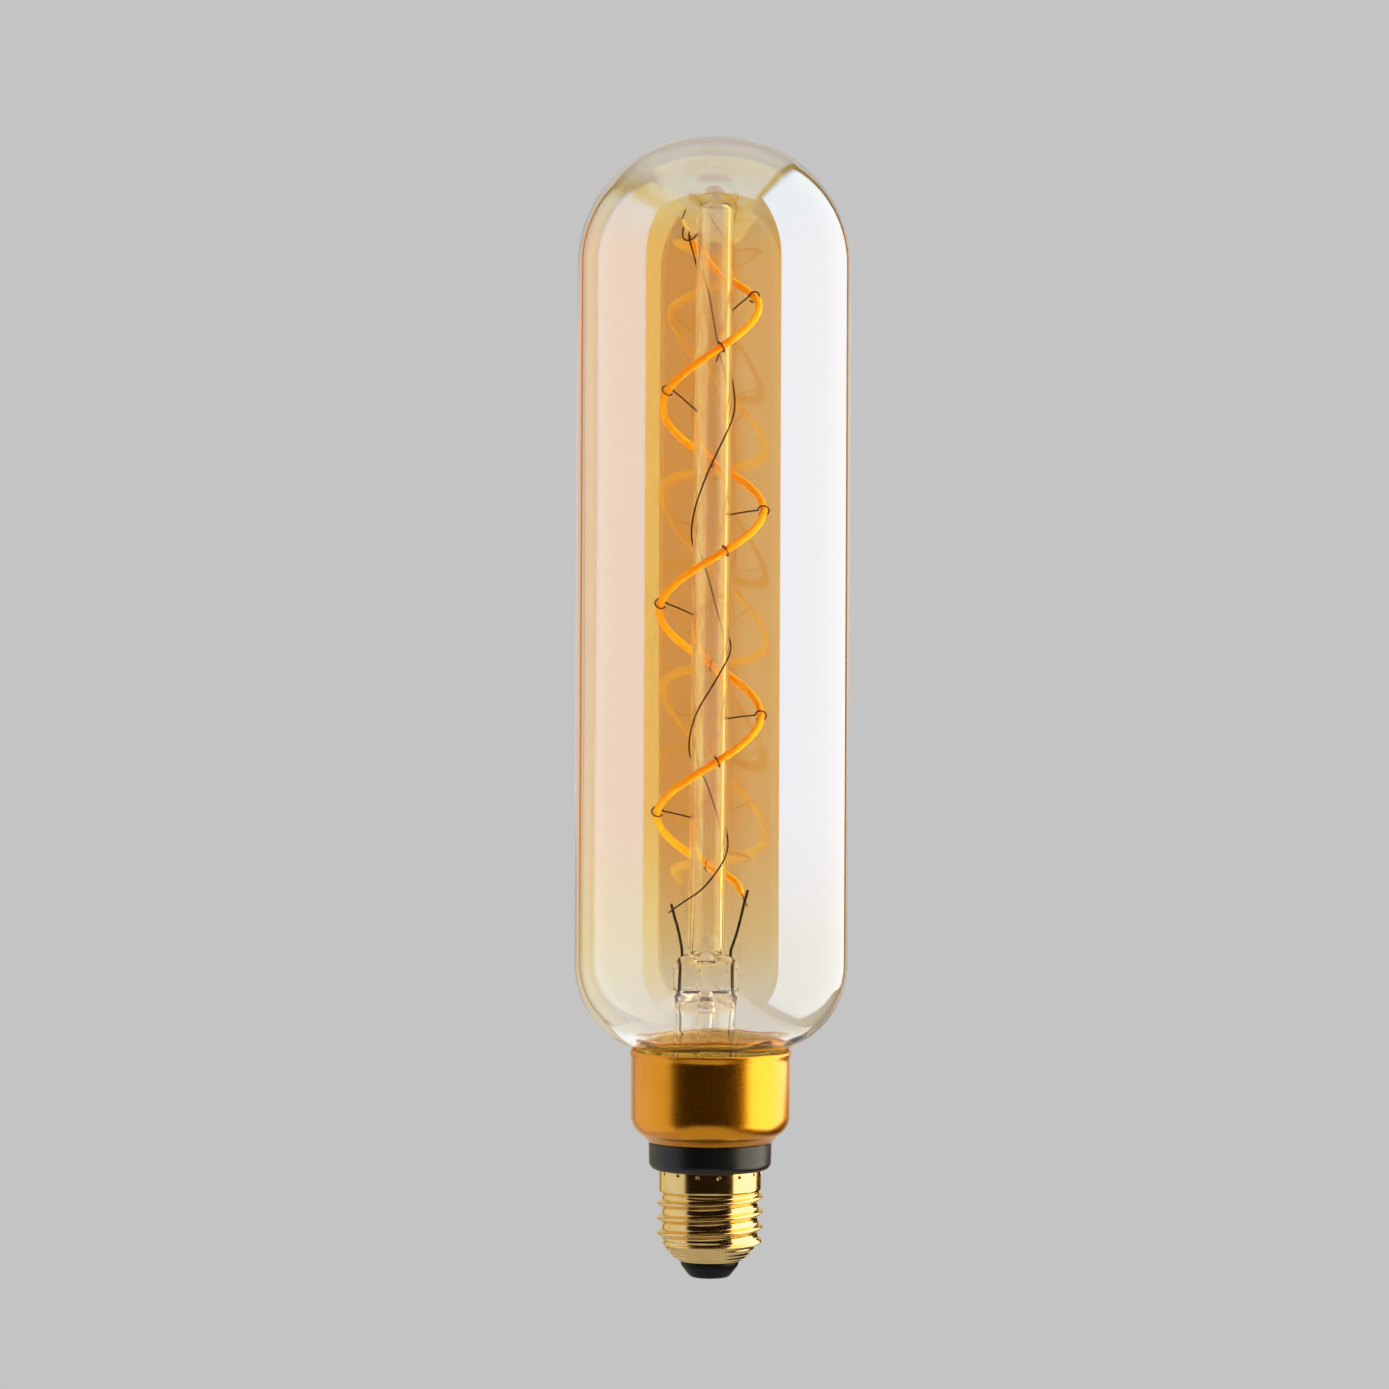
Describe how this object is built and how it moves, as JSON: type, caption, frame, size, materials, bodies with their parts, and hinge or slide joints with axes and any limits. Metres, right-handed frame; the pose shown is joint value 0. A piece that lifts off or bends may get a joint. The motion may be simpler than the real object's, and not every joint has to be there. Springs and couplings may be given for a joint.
{
  "type": "smart filament light bulb",
  "caption": "Long tubular amber filament lamp with a screw cap, a gold collar, a spiral filament and a wireless driver in its base.",
  "frame": {"origin": "centre of the centre contact's flat bottom face, on the lamp's axis", "axes": "+Z along the lamp's axis from the cap up to the dome, -Y is the front, +X is to the right seen from the front"},
  "size_m": [0.0666, 0.0666, 0.278],
  "materials": {
    "amber_glass": "thin amber tint, polished",
    "clear_glass": "clear, polished",
    "phosphor_silicone": "satin silicone",
    "dark_wire": "oxidised, satin",
    "copper": "bare, satin",
    "ceramic": "matt white",
    "gold_collar": "gold lacquer, polished",
    "cement": "matt",
    "black_plastic": "satin",
    "brass_shell": "bright, polished",
    "nickel": "bright",
    "tin_can": "satin",
    "board_green": "solder resist, satin",
    "board_blue": "solder resist, satin",
    "can_sleeve": "glossy sleeve",
    "resistor_body": "matt enamel",
    "varistor_blue": "epoxy dip",
    "red_insulation": "smooth",
    "blue_insulation": "smooth",
    "ceramic_chip": "matt",
    "component_black": "moulded epoxy"
  },
  "bodies": {
    "root": {"glass_envelope": "amber_glass", "stem_flare": "clear_glass", "stem_press": "clear_glass", "stem_column": "clear_glass", "exhaust_tube": "clear_glass", "lead_wire_left": "dark_wire", "lead_wire_right": "dark_wire", "dumet_seal_left": "copper", "dumet_seal_right": "copper", "outer_lead_left": "copper", "outer_lead_right": "copper", "filament_coat": "phosphor_silicone", "filament_core": "copper", "filament_tail_top": "dark_wire", "filament_tail_bottom": "dark_wire", "top_ferrule": "ceramic", "return_wire": "dark_wire", "top_anchor_wire": "dark_wire", "support_wire_1": "dark_wire", "support_wire_2": "dark_wire", "support_wire_3": "dark_wire", "support_wire_4": "dark_wire", "support_wire_5": "dark_wire", "support_wire_6": "dark_wire", "support_wire_7": "dark_wire", "support_wire_8": "dark_wire", "support_wire_9": "dark_wire", "support_wire_10": "dark_wire", "support_wire_11": "dark_wire", "support_wire_12": "dark_wire", "collar_cup": "gold_collar", "neck_cement": "cement", "driver_housing": "black_plastic", "screw_shell": "brass_shell", "base_insulator": "black_plastic", "centre_contact": "nickel", "driver_board": "board_green", "bridge_rectifier": "component_black", "bulk_capacitor": "can_sleeve", "power_inductor": "component_black", "driver_chip": "component_black", "fuse_resistor": "resistor_body", "chip_resistors": "component_black", "chip_capacitors": "ceramic_chip", "live_wire": "red_insulation", "neutral_wire": "blue_insulation", "output_terminals": "nickel", "header_pins": "nickel", "module_board": "board_blue", "module_shield": "tin_can", "module_antenna": "copper", "module_crystal": "tin_can", "radio_chip": "component_black", "inductor_winding": "copper", "surge_varistor": "varistor_blue"}
  },
  "joints": []
}
